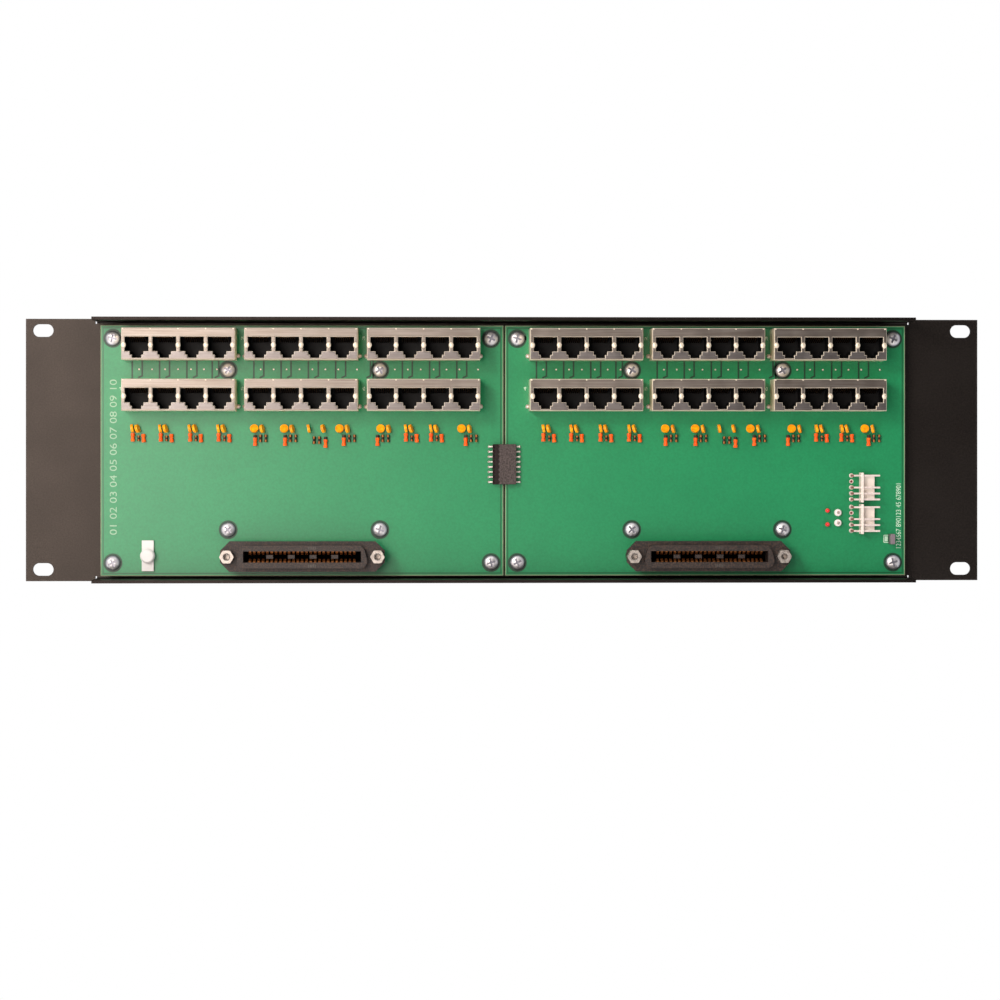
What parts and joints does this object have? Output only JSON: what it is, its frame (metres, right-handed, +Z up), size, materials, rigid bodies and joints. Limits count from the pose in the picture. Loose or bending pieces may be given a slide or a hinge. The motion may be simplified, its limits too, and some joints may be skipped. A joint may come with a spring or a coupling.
{
  "type": "audio patch bay",
  "caption": "Rack panel with bent flanges carrying two green jack boards: shielded modular ports in two rows, ribbon connectors with screwlocks, a link block and a pull-off jumper shunt.",
  "frame": {"origin": "centre of the rack-slot pattern, on the panel's rear mounting face", "axes": "+X right and +Z up seen from the front, jacks and flanges towards -Y"},
  "size_m": [0.4826, 0.0258, 0.1324],
  "materials": {
    "powder_coat": "fine-textured black powder coat",
    "zinc_steel": "zinc-plated, satin",
    "solder_mask": "green solder mask over copper, semi-gloss",
    "screw_steel": "bright zinc-plated",
    "shield_tin": "tin-plated sheet, finely brushed",
    "jack_black": "moulded, matt",
    "contact_gold": "gold-plated",
    "telco_black": "moulded, satin",
    "ribbon_gold": "gold over nickel, dull",
    "lock_steel": "nickel-plated",
    "link_plastic": "moulded, satin",
    "lead_tin": "tinned",
    "fuse_yellow": "dipped epoxy, glossy",
    "diode_orange": "glass and lacquer, glossy",
    "resistor_brown": "lacquered",
    "ferrite_dark": "ferrite, dull",
    "header_white": "moulded nylon, satin",
    "pin_tin": "tin-plated",
    "led_red": "diffused red epoxy",
    "bush_white": "turned plastic",
    "terminal_pin": "tinned",
    "jumper_black": "moulded",
    "shunt_grey": "moulded",
    "clip_bronze": "phosphor bronze",
    "nylon_white": "moulded nylon"
  },
  "bodies": {
    "patch_bay": {"rack_panel": "powder_coat", "standoffs_left": "zinc_steel", "standoffs_right": "zinc_steel", "left_board": "solder_mask", "right_board": "solder_mask", "board_screws_left": "screw_steel", "board_screws_right": "screw_steel", "jack_shield_1": "shield_tin", "jack_shield_2": "shield_tin", "jack_shield_3": "shield_tin", "jack_shield_4": "shield_tin", "jack_shield_5": "shield_tin", "jack_shield_6": "shield_tin", "jack_shield_7": "shield_tin", "jack_shield_8": "shield_tin", "jack_shield_9": "shield_tin", "jack_shield_10": "shield_tin", "jack_shield_11": "shield_tin", "jack_shield_12": "shield_tin", "jack_housing_1": "jack_black", "jack_housing_2": "jack_black", "jack_housing_3": "jack_black", "jack_housing_4": "jack_black", "jack_housing_5": "jack_black", "jack_housing_6": "jack_black", "jack_housing_7": "jack_black", "jack_housing_8": "jack_black", "jack_housing_9": "jack_black", "jack_housing_10": "jack_black", "jack_housing_11": "jack_black", "jack_housing_12": "jack_black", "jack_contacts_upper_left": "contact_gold", "jack_contacts_upper_right": "contact_gold", "jack_contacts_lower_left": "contact_gold", "jack_contacts_lower_right": "contact_gold", "telco_housing_left": "telco_black", "telco_contacts_left": "ribbon_gold", "telco_screwlocks_left": "lock_steel", "fuse_discs_left": "fuse_yellow", "diodes_left": "diode_orange", "resistors_left": "resistor_brown", "telco_housing_right": "telco_black", "telco_contacts_right": "ribbon_gold", "telco_screwlocks_right": "lock_steel", "fuse_discs_right": "fuse_yellow", "diodes_right": "diode_orange", "resistors_right": "resistor_brown", "ferrite_beads": "ferrite_dark", "link_block": "link_plastic", "link_leads": "lead_tin", "power_header_bodies": "header_white", "power_header_pins": "pin_tin", "power_leds": "led_red", "test_terminal_bushes": "bush_white", "test_terminal_pins": "terminal_pin", "jumper_base": "jumper_black", "jumper_pins": "contact_gold", "tie_anchor": "nylon_white"},
    "shunt": {"jumper_shunt": "shunt_grey", "jumper_clip": "clip_bronze"}
  },
  "joints": [
    {"name": "shunt_pull", "type": "slide", "parent": "patch_bay", "child": "shunt", "axis": [0, -1, 0], "range_m": [0, 0.006]}
  ]
}
